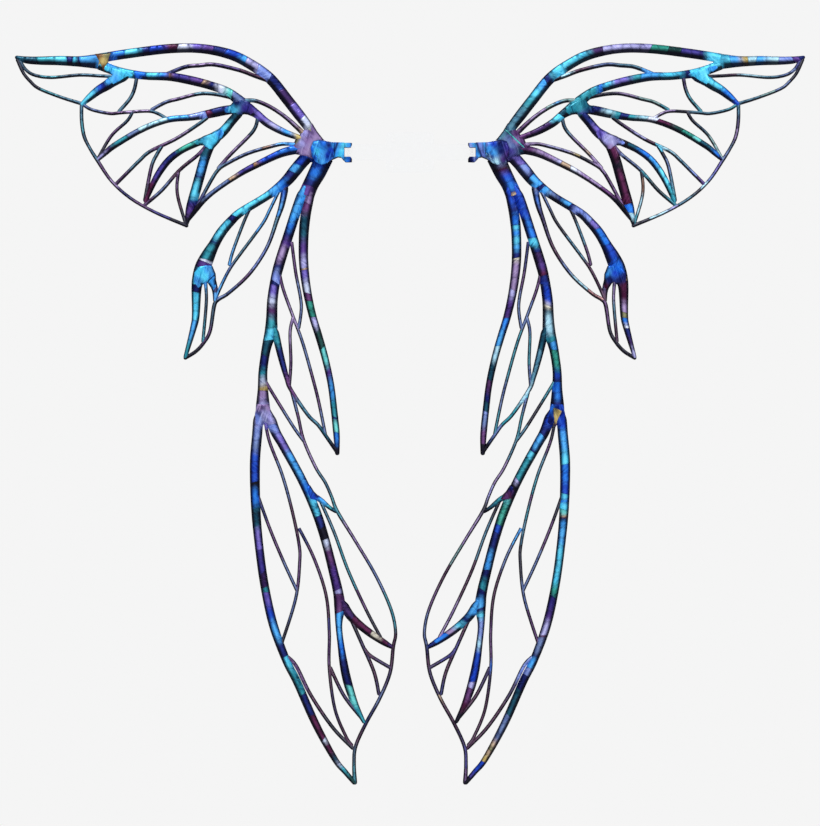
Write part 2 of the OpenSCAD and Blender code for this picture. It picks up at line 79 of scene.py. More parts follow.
# Every ribbon: the CAD node it stands for and its own name, then its route, which is the CAD
# model's (outward, up and width in mm, root to tip, with a width that stays the same written
# once in front), then its colours on the right and on the left wing. Colours start with the
# axis of their limits (u outward and z up in mm, or p in percent of the length), then give each
# colour and where it ends. The last colour has no end.
RIBBONS = [read_ribbon(text) for text in """
forewing_tip_spar tip_spar | 379 113 21, 394 113 17, 413 113 12.5, 438 114 11, 463 114 9.5, 480 115 8,
491 118 4
| u cyan 400 sky 414 gold 422 pale 432 sky 445 pale 460 iris 478 purple 486 navy
| u gold 388 sky 412 navy 416 cyan 421 navy 428 cyan 444 teal 465 pine

forewing_leading_spar leading_spar | 123 25 11, 129 34 12, 139 47 13, 153 65 13, 175 92 13, 200 110 12.5,
225 122 12, 260 129 11, 300 129 11, 350 123 11, 388 117 11
| u lagoon 145 teal 155 cyan 162 sky 170 navy 179 cyan 224 grape 241 lilac 300 green 322 moss 338
indigo 362 navy 370 cyan
| u olive 126 silver 135 violet 148 grape 162 navy 175 iris 190 lilac 205 sky 212 royal 231 navy 246
purple 260 violet 275 white 290 maroon 306 royal 325 navy 338 cyan 356 blue 372 navy 378 cyan

forewing_mid_spar mid_spar | 136 17 6, 158 25 8, 178 36 9.5, 191 47 10, 203 55 14, 213 64 13, 228 75 10.5,
246 82 10, 272 89 10.5, 300 94 10, 330 95 9, 363 100 11, 388 109 12
| u plum 152 grape 181 cyan 189 pine 196 teal 235 blue 241 cyan 252 violet 275 teal 288 sky 312 cyan 340
navy 350 cyan
| u gold 146 sky 162 lilac 178 violet 194 indigo 209 slate 222 aqua 231 white 240 navy 256 tan 260
purple 275 indigo 298 brown 302 blue 315 cyan 329 blue 344 cyan 365 sky 378 cyan

forewing_fan_spar_upper fan_spar_upper | 205 55 8, 230 52 11, 253 47 10, 275 43 7.5, 303 40 7, 335 28 7,
369 8 7, 380 -1 6, 389 -9 4
| u pine 225 navy 242 pale 252 teal 262 navy 272 teal 285 pale 296 white 308 maroon 326 moss 339 green 352
aqua 362 pine 378 blue 386 navy
| u cyan 219 navy 246 maroon 254 iris 275 sky 302 pale 338 slate 352 teal 369 grape 381 lilac

forewing_fan_spar_middle fan_spar_middle | 207 56 10, 223 38 10.5, 233 26 11.5, 243 19 13, 256 15 9,
271 9 8, 285 2 7.5, 299 -8 8, 310 -21 8, 320 -38 7, 330 -61 5
| u teal 215 navy 228 violet 238 iris 246 lilac 255 white 262 black 271 pine 285 blue 298 sky 310 cyan 322
teal
| u pine 225 cyan 244 teal 269 green 288 navy 306 indigo 319 maroon

forewing_branch_spars wrist_spur | 350 96 9, 368 90 13, 379 83 12, 389 77 10.5, 399 69 8.5, 409 60 5
| u sky 369 cyan 388 blue 404 royal
| u cyan 372 sky 378 navy 382 royal 392 cyan

forewing_branch_spars fan_spar_lower | 243 20 10, 251 6 12, 257 -10 12, 262 -28 12, 267 -46 12,
271 -60 12, 275 -73 10, 279 -90 4
| z lilac 16 maroon -10 black -25 maroon -65 blue -76 pale -84 black
| z sky 5 pine -10 sky -27 navy -36 cyan -57 navy -68 purple -78 black

forewing_root_spar root_spar | 137 4 11, 156 0 10, 173 -7 8.5, 203 -22 7, 218 -31 6, 233 -41 5.5,
248 -52 5.5, 259 -62 6, 269 -74 6, 278 -86 4
| u plum 156 mauve 182 lilac 188 tan 200 white 209 mauve 238 plum 252 black
| u blue 162 royal 188 brown 195 indigo 216 tan 225 slate 256 black

forewing_edge_wire fan_edge | 410 62 4, 410 40 4, 407 20 4, 400 5 3.5, 390 -11 4, 373 -36 3.5,
350 -57 3.5, 319 -75 3.5, 279 -92 4
| p lagoon 8 grape 15 mauve 22 pine 28 slate 36 violet 44 iris 50 pale 56 black 62 lagoon 72 lilac 78
pale 90 black
| p lagoon 10 teal 18 pine 25 lagoon 36 plum 48 mauve 56 navy 66 plum 78 indigo 90 black

forewing_long_veins tip_inner | 3.5: 366 94, 388 95, 413 96, 448 93, 469 96, 480 103, 487 114
| u black 398 maroon 412 pale 438 lagoon 462 slate 481 navy
| u lagoon 412 pine 438 teal 462 pine

forewing_long_veins fan_cross | 3.5: 303 41, 315 48, 328 51, 360 49, 375 48, 398 53, 409 60
| u white 310 mauve 331 black 350 lagoon 394 teal
| u lagoon 325 mauve 356 plum 381 slate

forewing_long_veins upper_arch | 4.5: 177 89, 194 95, 213 102, 244 109, 263 108, 281 106, 304 97
| u black 188 pale 202 maroon 228 slate 256 lagoon 288 sky
| u maroon 212 purple 244 mauve 275 navy

forewing_long_veins upper_return | 131 21 6, 149 38 5, 163 49 4.5, 178 58 4.5, 194 64 4.5, 210 64 4.5
| u plum 150 mauve 170 sage 182 sky 188 sage
| u tan 140 mauve 169 plum 190 lagoon

forewing_long_veins fan_vein_upper | 4: 253 43, 265 34, 293 16, 324 1, 338 -11, 353 -26, 367 -40
| u black 265 plum 278 lilac 294 maroon 306 cyan 315 pale 331 lagoon 348 iris 358 purple
| u lagoon 275 mauve 300 plum 325 lagoon 350 plum

forewing_long_veins fan_vein_middle | 4: 252 11, 264 -3, 288 -23, 310 -48, 331 -66
| u plum 262 slate 288 teal 298 moss 319 teal
| u plum 275 maroon 300 slate 319 plum

forewing_long_veins root_vein | 4: 138 9, 156 10, 169 8, 203 -2, 231 -16, 240 -23, 248 -35, 266 -68
| u mauve 169 lilac 202 gold 212 black 228 mauve 244 plum
| u sky 169 brown 185 slate 231 lagoon 256 navy

forewing_short_veins tip_edge | 409 60 4, 435 68 3.5, 463 79 3.5, 474 88 3.5, 483 99 3.5, 490 115 4
| u lagoon 438 sage 456 slate 475 black
| u lagoon 438 teal 462 black

forewing_short_veins wrist_vein | 4: 341 95, 344 79, 350 66, 363 51
| z grape 75 teal
| z pine 75 lagoon

forewing_short_veins cross_vein | 3.5: 346 51, 353 39, 373 20, 390 -9
| u black 356 pine 372 sage
| u pine 360 plum 378 black

forewing_short_veins elbow_vein | 4: 213 62, 228 69, 259 73, 290 66, 305 62, 322 53
| u black 260 mauve 285 sage 312 teal
| u pine 231 lagoon 269 mauve 300 slate

forewing_short_veins fan_branch_upper | 4: 310 7, 316 -3, 323 -19, 331 -60
| z cyan 0 black -7 slate -28 lagoon -45 teal
| z lagoon -16 plum -41 black

forewing_short_veins fan_branch_middle | 3.5: 289 -25, 291 -43, 289 -60, 280 -90
| z black -32 brown -55 pale -78 teal
| z plum -47 maroon -72 black

forewing_short_veins root_branch | 4: 190 43, 193 31, 201 20, 224 -3, 239 -20
| u pine 195 lagoon 202 mauve 218 tan 225 mauve
| u pine 200 mauve 222 plum 235 slate

midwing_spar midwing_path | 118 6 16, 134 -11 15, 144 -23 15, 153 -34 14, 163 -43 12, 181 -56 9.5,
212 -75 10, 225 -87 11, 236 -100 12, 245 -115 13, 253 -130 17, 259 -143 19, 264 -156 16, 267 -170 12,
268 -204 9, 271 -220 7.5, 281 -256 4
| z violet -16 iris -28 navy -31 sky -42 navy -45 sky -50 slate -57 navy -62 sky -67 navy -70 iris -87
violet -96 blue -116 royal -137 blue -150 navy -160 tan -162 maroon -188 mauve -200 olive -207 blue -216
white -220 navy -232 grape -245 lilac
| z royal -16 sky -25 navy -36 blue -44 sky -52 cyan -80 navy -86 cyan -110 navy -115 teal -134 white -137
purple -145 cyan -165 navy -175 cyan -210 sky -235 teal

midwing_spurs head_spur | 254 -138 12, 249 -156 10, 244 -172 7, 244 -185 4
| z royal -154 navy -172 maroon
| z sky -157 navy -175 sky

midwing_spurs midwing_twig | 3.5: 197 -64, 207 -85, 221 -122, 226 -140
| z black -87 lagoon -116 plum
| z navy -75 pine -91 lagoon -116 sky

midwing_edge_wire midwing_edge | 155 -37 9, 160 -64 7, 166 -83 5, 179 -119 4, 201 -152 4, 227 -176 4,
240 -184 4.5, 245 -192 4.5, 250 -223 4, 258 -238 4, 268 -249 4, 281 -257 4
| z slate -54 blue -66 navy -78 grape -110 maroon -137 slate -154 pale -172 salmon -185 plum -216 black
| z navy -47 blue -62 sky -80 lagoon -100 slate -122 iris -147 plum -166 slate -185 pine -216 plum -241
black

midwing_veins midwing_vein_long | 3.5: 162 -44, 175 -71, 185 -90, 213 -128, 225 -145, 234 -162, 243 -182
| z slate -72 black -104 lagoon -135 maroon
| z sky -100 lagoon -137 slate -154 sky

midwing_veins midwing_vein_tip | 257 -152 5, 255 -173 3.5, 255 -191 3.5, 259 -236 3.5
| z navy -166 mauve -185 lagoon -210 maroon
| z sky -172 pine -210 teal

tail_trunk tail_trunk_path | 107 -6 22, 116 -25 21, 124 -40 19, 130 -54 20
| z slate -17 maroon -26 royal -37 blue -48 navy -51 tan
| z royal -20 blue -32 navy -42 purple

tail_upper_spar tail_upper | 131 -42 11, 139 -63 12, 151 -100 12, 163 -138 12.5, 168 -158 12,
172 -184 12.5, 173 -208 13.5, 174 -224 15, 178 -238 12, 181 -252 10.5, 184 -275 10.5, 184 -297 12.5,
184 -318 17, 183 -335 20
| z royal -85 blue -107 cyan -118 navy -125 grape -137 purple -148 maroon -154 navy -166 royal -191
cream -195 pine -202 pale -227 teal -237 sky -247 green -272 royal -284 navy -287 blue -310 navy -316
royal
| z sky -87 blue -97 navy -110 purple -118 mauve -137 navy -148 iris -162 navy -166 violet -182
silver -190 plum -206 teal -220 cyan -235 pine -254 navy -272 teal -281 silver -292 gold -298 mauve -310
lilac

tail_inner_spar tail_inner | 122 -42 10, 127 -62 11, 131 -82 12, 133 -105 11.5, 133 -138 11, 129 -172 10,
122 -204 9, 114 -230 8.5, 106 -258 8, 99 -290 7.5, 95 -322 7.5, 92 -352 7.5, 91 -376 5
| z royal -66 navy -78 blue -91 cyan -97 blue -105 cyan -115 sky -122 navy -132 cream -135 mauve -172
lilac -181 purple -207 blue -222 sky -242 pale -262 pine -285 plum -300 navy -312 pine -324 iris -328
slate -345 plum -365 black
| z grape -54 mauve -64 plum -76 pine -110 purple -131 lilac -145 tan -147 violet -162 silver -176
plum -186 green -206 lilac -220 moss -245 aqua -267 purple -284 sky -310 teal -331 navy -335 aqua -350
blue -365 black

tail_outer_spar tail_outer | 189 -322 12, 191 -350 12, 194 -390 12, 193 -443 11, 189 -490 10, 182 -541 10,
171 -591 10.5, 155 -635 9.5, 141 -663 9.5, 118 -715 9, 94 -759 7, 81 -775 6, 70 -788 5
| z royal -347 sky -375 cyan -390 blue -412 royal -427 cyan -434 blue -438 cyan -447 aqua -454 tan -456
navy -460 sky -491 cyan -541 green -555 navy -557 indigo -574 purple -587 lilac -604 maroon -606
slate -628 navy -632 sky -645 iris -654 navy -672 pine -704 slate -736 tan -744 olive -748 tan -754
gold -762 royal -775 indigo -782 black
| z lilac -340 iris -360 slate -375 royal -412 black -420 blue -441 pine -471 violet -497 indigo -526
grape -544 teal -550 violet -568 royal -587 sky -610 navy -631 cyan -645 teal -678 navy -704 maroon -734
silver -738 maroon -754 pine -764 silver -767 teal -777 moss

tail_lower_spar tail_lower | 178 -322 13, 169 -348 12, 159 -366 11, 136 -408 10.5, 118 -448 11,
106 -485 10.5, 96 -524 11, 90 -550 12, 88 -568 13, 89 -590 8, 87 -612 7.5, 82 -645 10, 76 -670 10,
68 -692 7.5, 58 -712 4
| z royal -341 navy -354 sky -372 navy -375 cyan -384 teal -410 lilac -414 black -422 grape -430
maroon -434 aqua -441 green -466 royal -476 navy -500 sky -522 navy -535 teal -547 navy -556 sky -570
navy -576 cyan -582 iris -610 pale -620 royal -662 lilac -670 plum -685 maroon -697 black
| z lilac -340 iris -352 violet -375 sky -410 blue -432 cyan -455 navy -470 black -484 silver -494
plum -517 purple -547 lilac -552 plum -575 sky -610 blue -630 navy -666 aqua -691 teal

tail_branch_spars tail_middle_branch | 170 -218 9, 164 -245 8, 159 -265 7, 154 -283 5.5, 149 -297 4.5,
128 -328 4, 115 -341 4, 105 -355 4, 91 -375 4.5
| z pine -247 lagoon -291 pale -316 teal -341 slate -360 black
| z teal -241 navy -278 plum -310 lagoon -341 pine -360 black

tail_branch_spars tail_low_branch | 86 -560 11, 76 -578 10.5, 63 -591 9.5, 49 -602 9, 34 -612 7.5,
24 -618 5
| u sky 75 navy 65 cyan 58 mauve 48 blue 32 navy
| u grape 72 maroon 49 cream 40 maroon 28 grape

tail_branch_spars tail_bridge | 128 -426 7.5, 113 -434 6, 101 -444 4.5, 93 -449 4
| u maroon 120 teal 109 pine 99 black
| u royal 115 sky 105 teal 98 pine

tail_edge_wire tail_edge | 148 -299 4, 140 -330 3.5, 133 -360 3.5, 118 -394 3.5, 106 -413 3.5,
98 -431 3.5, 91 -449 4, 69 -485 3.5, 43 -529 3.5, 24 -571 3.5, 18 -600 3.5, 21 -619 4, 25 -651 4,
38 -683 4, 55 -714 4, 68 -743 4, 70 -765 4, 69 -788 5
| z cyan -307 slate -325 teal -360 lagoon -385 mauve -416 lilac -435 black -454 mauve -491 sage -516
maroon -547 plum -575 slate -616 navy -628 maroon -645 grape -678 tan -686 maroon -722 grape -741
indigo -770 plum
| z slate -325 plum -360 mauve -397 lagoon -428 teal -460 mauve -510 slate -550 teal -597 maroon -647
grape -672 slate -691 navy -720 maroon -741 pine -766 teal

tail_long_veins tail_vein_upper | 3.5: 163 -153, 158 -173, 146 -206, 134 -239, 121 -285, 114 -313,
106 -352
| z plum -185 slate -222 teal -285 slate -322 teal
| z plum -185 mauve -222 slate -272 plum -322 slate

tail_long_veins tail_vein_bridge | 3.5: 113 -434, 95 -475, 77 -524, 54 -574, 37 -606
| z black -460 lagoon -510 maroon -560 mauve
| z lagoon -485 teal -547 plum -572 black

tail_long_veins tail_vein_outer | 3.5: 182 -330, 176 -361, 160 -403, 148 -446, 139 -489, 138 -513,
143 -558, 161 -616
| z gold -337 black -360 plum -378 lagoon -404 teal -428 plum -441 teal -460 lagoon -491 black -535
slate -572 plum
| z violet -347 plum -385 slate -435 maroon -485 plum -547 slate -585 black

tail_long_veins tail_vein_foot | 4: 153 -631, 142 -643, 124 -679, 97 -719, 72 -745
| z iris -660 grape -685 maroon
| z plum -672 maroon -704 black

tail_long_veins tail_vein_low | 4: 77 -577, 60 -615, 45 -650, 39 -677
| z maroon -610 indigo -628 maroon -660 navy
| z black -610 grape -635 maroon -660 grape

tail_long_veins tail_vein_short | 4: 100 -644, 83 -679, 62 -706
| z grape -672 maroon
| z maroon -666 grape

tail_short_veins tail_vein_long | 3.5: 139 -470, 120 -508, 105 -554, 101 -600, 101 -645, 94 -696, 80 -731,
73 -741
| z sky -491 slate -522 maroon -585 plum -635 blue -650 grape -672 maroon
| z navy -491 plum -535 maroon -582 indigo -597 plum -641 maroon -672 grape -710 maroon -741 pine

tail_short_veins tail_twig_upper | 3.5: 148 -112, 143 -150, 136 -190, 139 -219
| z navy -147 plum -172 slate
| z plum -160 slate

tail_short_veins tail_twig_middle | 3.5: 146 -206, 150 -225, 149 -263, 151 -293
| z slate -228 teal -266 slate
| z mauve -241 plum

tail_short_veins tail_twig_cross | 3.5: 181 -286, 169 -306, 146 -343, 133 -361
| z teal -310 black -341 lagoon
| z plum -322 slate

tail_short_veins tail_twig_outer | 3.5: 190 -430, 176 -469, 159 -510, 142 -547
| z black -460 plum -497 slate
| z navy -460 plum -510 slate

tail_short_veins tail_twig_low | 4: 57 -621, 49 -630, 24 -645
| u indigo 38 grape
| u maroon 44 grape
""".split("\n\n")]

# Ribbons whose root narrows into a wider one
TUCKED = ("tail_upper", "tail_inner", "tail_outer", "tail_lower", "tail_middle_branch",
          "tail_low_branch", "tail_bridge", "fan_spar_upper", "fan_spar_middle", "fan_spar_lower",
          "wrist_spur", "head_spur", "midwing_edge", "upper_return")

# Domed plates are coloured by seeds (u, z, colour), blended by distance, and crossed by straight
# folds (a, b, low, high, colour) where low < a * u + b * z < high.
PLATES = {
    "right_root": (
        [(114, 22, "lagoon"), (120, 30, "lagoon"), (122, 14, "slate"), (128, 8, "slate"),
         (134, 24, "plum"), (132, 14, "mauve"), (142, 14, "plum"), (140, 2, "pine"), (144, 6, "plum"),
         (126, 2, "indigo"), (116, 6, "navy"), (110, 0, "navy")],
        [(0.69, 0.72, 101.2, 102.8, "aqua")]),
    "right_front": (
        [(94, 9, "iris"), (94, -2, "sky"), (98, 4, "sky"), (99, -7, "slate"), (104, 9, "royal"),
         (104, -2, "sky"), (107, -13, "pale"), (112, 10, "navy"), (113, 0, "navy"), (116, -10, "purple"),
         (121, 6, "indigo"), (122, -4, "purple")],
        [(1, 0.9, 92.5, 93.6, "pale")]),
    "left_root": (
        [(114, 22, "mauve"), (118, 14, "mauve"), (124, 26, "mauve"), (128, 14, "mauve"),
         (132, 24, "lilac"), (136, 10, "lilac"), (142, 14, "olive"), (144, 4, "mauve"),
         (130, 2, "mauve"), (118, 4, "navy"), (110, 0, "navy")],
        [(0.8, 0.6, 122.5, 123.5, "plum")]),
    "left_front": (
        [(94, 8, "sky"), (94, -4, "blue"), (98, 2, "royal"), (101, 8, "navy"), (103, -4, "royal"),
         (108, 10, "blue"), (110, -2, "sky"), (114, 8, "sky"), (116, 0, "cyan"), (112, -12, "sky"),
         (119, -8, "blue"), (122, 2, "blue")],
        [(1, -0.35, 117.6, 118.2, "cyan")]),
}
# Webs of film in the forks: name, the node that each belongs to, depth, outline and seeds
WEBS = [
    ("fork", "tail_upper_spar", 3.9,
     [(176, -314), (174, -324), (170, -338), (176, -343), (181, -338), (185, -343), (194, -341),
      (194, -326), (191, -314)],
     {"right": [(176, -320, "blue"), (188, -318, "royal"), (190, -334, "royal"), (173, -334, "navy"),
                (181, -322, "navy")],
      "left": [(176, -318, "mauve"), (188, -318, "mauve"), (190, -332, "iris"),
               (173, -334, "lilac"), (182, -328, "lilac")]}),
    ("fork_fold", "tail_lower_spar", 4.35,
     [(177, -317), (178, -331), (181, -346), (186, -336), (192, -323), (185, -319)],
     {"right": [(179, -320, "olive"), (187, -324, "gold"), (183, -334, "gold"), (181, -344, "plum")]}),
    ("head", "midwing_spar", 3.9,
     [(247, -142), (243, -152), (242, -168), (246, -174), (254, -162), (260, -166), (265, -172),
      (271, -162), (270, -150), (264, -142), (255, -140)],
     {"right": [(252, -143, "blue"), (262, -146, "blue"), (246, -150, "sky"), (256, -151, "royal"),
                (268, -155, "navy"), (250, -159, "navy"), (262, -160, "navy"), (244, -168, "maroon"),
                (266, -168, "maroon")],
      "left": [(252, -146, "sky"), (262, -148, "cyan"), (248, -156, "sky"), (256, -156, "cyan"),
               (266, -162, "sky"), (244, -168, "sky")]}),
    ("bridge", "tail_lower_spar", 3.8,
     [(109, -436), (116, -435), (125, -435), (128, -428), (131, -418), (125, -416), (120, -424),
      (114, -430)],
     {"right": [(112, -434, "maroon"), (120, -430, "plum"), (127, -430, "maroon"), (127, -419, "navy")],
      "left": [(112, -434, "sky"), (118, -430, "royal"), (127, -431, "royal"), (127, -419, "blue")]}),
    ("wrist_fold", "forewing_tip_spar", 4.6,
     [(382, 99), (393.5, 122.4), (372, 124.2)],
     {"left": [(389, 120, "brown"), (377, 121, "olive"), (383, 113, "gold"), (382, 104, "brown")]}),
    ("wrist", "forewing_mid_spar", 3.9,
     [(345, 93.5), (353, 93), (362, 87.5), (370, 83.5), (375, 86), (376, 90), (372, 96), (384, 103),
      (386, 107), (380, 109), (366, 104.5), (352, 100.5), (345, 97.5)],
     {"right": [(346, 94, "navy"), (356, 97, "cyan"), (370, 92, "cyan"), (378, 84, "cyan"),
                (382, 104, "sky")],
      "left": [(346, 94, "cyan"), (356, 97, "cyan"), (370, 92, "sky"), (378, 84, "cyan"),
               (382, 104, "cyan")]}),
    ("elbow", "forewing_mid_spar", 3.9,
     [(192, 49), (199, 46), (207, 47), (214, 45), (219, 48), (232, 48), (233, 54), (224, 59), (219, 65),
      (210, 66), (199, 59)],
     {"right": [(194, 50, "teal"), (208, 52, "teal"), (216, 62, "teal"), (230, 50, "navy"),
                (214, 45, "indigo")],
      "left": [(194, 50, "purple"), (206, 54, "indigo"), (216, 62, "navy"), (222, 52, "cyan"),
               (231, 51, "sky"), (214, 45, "navy")]}),
    ("fan", "forewing_fan_spar_middle", 3.9,
     [(231, 23), (238, 12), (246, 3), (251, 2), (257, 8), (268, 8), (270, 12), (258, 20), (244, 25),
      (234, 31)],
     {"right": [(236, 24, "violet"), (246, 14, "lilac"), (256, 14, "lilac"), (266, 10, "iris"),
                (250, 4, "mauve")],
      "left": [(236, 26, "sky"), (246, 14, "cyan"), (256, 14, "cyan"), (266, 10, "teal"),
               (250, 4, "cyan")]}),
]
WEB_FOLDS = {("head", "left"): [(1, 1, 90.5, 91.3, "navy")]}
# Bands of the root hub: how far outward in mm each colour lies
HUB_STOPS = {
    "right": [(70, "black"), (74, "navy"), (78, "iris"), (83, "sky"), (87, "navy"),
              (90, "iris"), (97, "sky"), (106, "slate"), (112, "navy"), (124, "purple")],
    "left": [(70, "navy"), (74, "blue"), (79, "sky"), (86, "cyan"), (91, "sky"), (94, "navy"), (98, "blue"),
             (112, "royal"), (124, "blue")],
}

# ------------------------------------------------------------------ colours
PALETTE = {
    "veil": (140, 134, 152),
    "navy": (14, 22, 88), "royal": (18, 56, 178), "blue": (24, 102, 214),
    "sky": (58, 156, 234), "cyan": (76, 206, 236), "aqua": (96, 212, 200),
    "pale": (172, 224, 236), "teal": (34, 132, 146), "pine": (12, 58, 78),
    "green": (44, 148, 124), "moss": (16, 48, 44), "sage": (124, 162, 152),
    "slate": (86, 106, 158), "lagoon": (66, 118, 140), "iris": (118, 138, 214),
    "violet": (104, 84, 182), "purple": (70, 40, 116), "indigo": (44, 34, 116),
    "grape": (42, 20, 68), "plum": (86, 42, 94), "maroon": (66, 14, 46),
    "mauve": (150, 118, 166), "lilac": (172, 164, 218), "white": (232, 234, 250),
    "silver": (198, 204, 226), "tan": (190, 150, 116), "gold": (196, 164, 88),
    "brown": (124, 78, 48), "olive": (112, 106, 66), "black": (10, 8, 18),
    "salmon": (214, 142, 134), "cream": (214, 200, 170),
}


def linear(rgb):
    return tuple(v / 12.92 if v <= 0.04045 else ((v + 0.055) / 1.055) ** 2.4
                 for v in (x / 255 for x in rgb))


COLOUR = {name: linear(rgb) for name, rgb in PALETTE.items()}


# ------------------------------------------------------------------ ribbons
def smooth(path, steps=10):
    """Catmull-Rom through the route's points, in mm."""
    out, last = [], len(path) - 1
    for i in range(last):
        a, b, c, d = (path[max(i - 1, 0)], path[i], path[i + 1], path[min(i + 2, last)])
        for k in range(steps):
            t = k / steps
            out.append(tuple(0.5 * (2 * q + (r - p) * t + (2 * p - 5 * q + 4 * r - s) * t * t
                                    + (3 * q - p - 3 * r + s) * t ** 3)
                             for p, q, r, s in zip(a, b, c, d)))
    out.append(tuple(float(v) for v in path[last]))
    return out


class Route:
    """A smoothed ribbon that can be read at any distance from its root."""

    def __init__(self, path):
        pts = smooth(path)
        self.at = [0.0]
        for a, b in zip(pts, pts[1:]):
            self.at.append(self.at[-1] + math.dist(a[:2], b[:2]))
        self.length = self.at[-1]
        self.pts, self.side = pts, []
        for i in range(len(pts)):
            a, b = pts[max(i - 1, 0)], pts[min(i + 1, len(pts) - 1)]
            d = math.dist(a[:2], b[:2]) or 1.0
            self.side.append((-(b[1] - a[1]) / d, (b[0] - a[0]) / d))
        self.hint = 0

    def read(self, s):
        s = min(max(s, 0.0), self.length)
        i = self.hint
        while i < len(self.at) - 2 and self.at[i + 1] < s:
            i += 1
        while i > 0 and self.at[i] > s:
            i -= 1
        self.hint = i
        f = (s - self.at[i]) / max(self.at[i + 1] - self.at[i], 1e-9)
        p, q = self.pts[i], self.pts[i + 1]
        m, n = self.side[i], self.side[i + 1]
        side = (m[0] + (n[0] - m[0]) * f, m[1] + (n[1] - m[1]) * f)
        scale = math.hypot(*side) or 1.0
        return ([p[k] + (q[k] - p[k]) * f for k in range(3)],
                (side[0] / scale, side[1] / scale))

    def find(self, axis, value):
        """Distance from the root at which the route passes a value of u or z."""
        if axis == "p":
            return self.length * value / 100
        k = 0 if axis == "u" else 1
        for i in range(len(self.pts) - 1):
            a, b = self.pts[i][k], self.pts[i + 1][k]
            if (a - value) * (b - value) <= 0 and a != b:
                return self.at[i] + (self.at[i + 1] - self.at[i]) * (a - value) / (a - b)
        ends = abs(self.pts[0][k] - value), abs(self.pts[-1][k] - value)
        return 0.0 if ends[0] < ends[1] else self.length


def read_bands(text, route):
    """[(start, end, colour name)] from a list of colours and the places where they end."""
    words = text.split()
    axis, out, start = words[0], [], 0.0
    for i in range(1, len(words), 2):
        end = route.find(axis, float(words[i + 1])) if i + 1 < len(words) else route.length
        if end > start + 0.4:
            out.append((start, end, words[i]))
            start = end
    if start < route.length - 0.4:
        out.append((start, route.length, words[-1]))
    return out


def wraps(bands, rng, pitch):
    """Splits each colour band into turns of film: (start, end, colour, sharp end or not)."""
    out = []
    for start, end, name in bands:
        count = max(1, round((end - start) / rng.uniform(0.8 * pitch, 1.3 * pitch)))
        cuts = [start + (end - start) * (k + (rng.uniform(-0.2, 0.2) if 0 < k < count else 0))
                / count for k in range(count + 1)]
        for k, (a, b) in enumerate(zip(cuts, cuts[1:])):
            glow = rng.uniform(0.86, 1.14)
            sharp = rng.random() < (0.42 if k == count - 1 else 0.14)
            out.append((a, b, tuple(v * glow for v in COLOUR[name]), sharp))
    return out


def blend(a, b, t):
    return tuple(x + (y - x) * t for x, y in zip(a, b))


def smoothstep(a, b, x):
    t = min(max((x - a) / (b - a), 0.0), 1.0)
    return t * t * (3 - 2 * t)


def half(width):
    """Half the width of the film sleeve on a spar of this width."""
    return (width + WRAP) / 2


def cover(u, z, r, name):
    COVER.setdefault((int(u // CELL), int(z // CELL)), []).append((u, z, r, name))


def bare(u, z, name):
    """0 where another ribbon or plate of the wing lies over this place, else 1."""
    i, j = int(u // CELL), int(z // CELL)
    return 0.0 if any(n != name and math.hypot(u - cu, z - cz) < r
                      for x in (i - 1, i, i + 1) for y in (j - 1, j, j + 1)
                      for cu, cz, r, n in COVER.get((x, y), ())) else 1.0


class Build:
    """Collects vertices, faces and what the film material reads from them."""

    def __init__(self):
        self.verts, self.faces, self.colours = [], [], []
        self.lay, self.ink, self.painted_highlight = [], [], []

    def vert(self, co, lay, ink, painted_highlight):
        self.verts.append(co)
        self.lay.append(lay)
        self.ink.append(ink)
        self.painted_highlight.append(painted_highlight)
        return len(self.verts) - 1

    def face(self, ids, *colours):
        """One colour for the whole face, or one for each corner."""
        self.faces.append(ids)
        self.colours.append(colours if len(colours) > 1 else colours * len(ids))

    def make(self, name, material):
        mesh = bpy.data.meshes.new(name)
        mesh.from_pydata(self.verts, [], self.faces)
        lay = mesh.attributes.new("lay", "FLOAT_VECTOR", "POINT")
        lay.data.foreach_set("vector", [v for row in self.lay for v in row])
        for word, values in (("ink", self.ink), ("painted_highlight", self.painted_highlight)):
            mesh.attributes.new(word, "FLOAT", "POINT").data.foreach_set("value", values)
        band = mesh.attributes.new("band", "FLOAT_COLOR", "CORNER")
        band.data.foreach_set("color", [v for corners in self.colours
                                        for colour in corners for v in (*colour, 1.0)])
        mesh.polygons.foreach_set("use_smooth", [True] * len(mesh.polygons))
        mesh.update()
        obj = bpy.data.objects.new(name, mesh)
        bpy.context.scene.collection.objects.link(obj)
        obj.data.materials.append(material)
        return obj


def stations(route, path, bands, rng, vein):
    """Rings of a ribbon: distance, slant, lift, colour, and if a turn of film begins there."""
    turns = wraps(read_bands(bands, route), rng, 11 if vein else 14)
    rings, slant, gap = [], 0.0, 3.0 if vein else 2.4
    for k, (a, b, colour, sharp) in enumerate(turns):
        wide = route.read(b)[0][2] + WRAP
        limit = min(0.8, 0.45 * (b - a) / wide)
        there = rng.choice((-1, 1, 1)) * rng.uniform(0.1, 1) * limit
        there = 0.0 if k == len(turns) - 1 else there
        if abs(there - slant) * wide > 0.8 * (b - a):
            there = slant + math.copysign(0.8 * (b - a) / wide, there - slant)
        before = turns[k - 1] if k else None
        after = turns[k + 1] if k + 1 < len(turns) else None
        soft = min(7.0, 0.48 * (b - a))
        count = max(3, round((b - a) / gap) + 1)
        for i in range(count):
            f = i / (count - 1)
            s = a + (b - a) * f
            c = colour
            if before and not before[3] and s - a < soft:
                c = blend(c, before[2], 0.5 * (1 - smoothstep(0, soft, s - a)))
            if after and not sharp and b - s < soft:
                c = blend(c, after[2], 0.5 * (1 - smoothstep(0, soft, b - s)))
            if vein:
                c = blend(c, COLOUR["veil"], 0.12)
            lift = f if sharp else 0.35 * math.sin(math.pi * f)
            rings.append((s, slant + (there - slant) * f, lift, c, i == 0))
        slant = there
    return rings


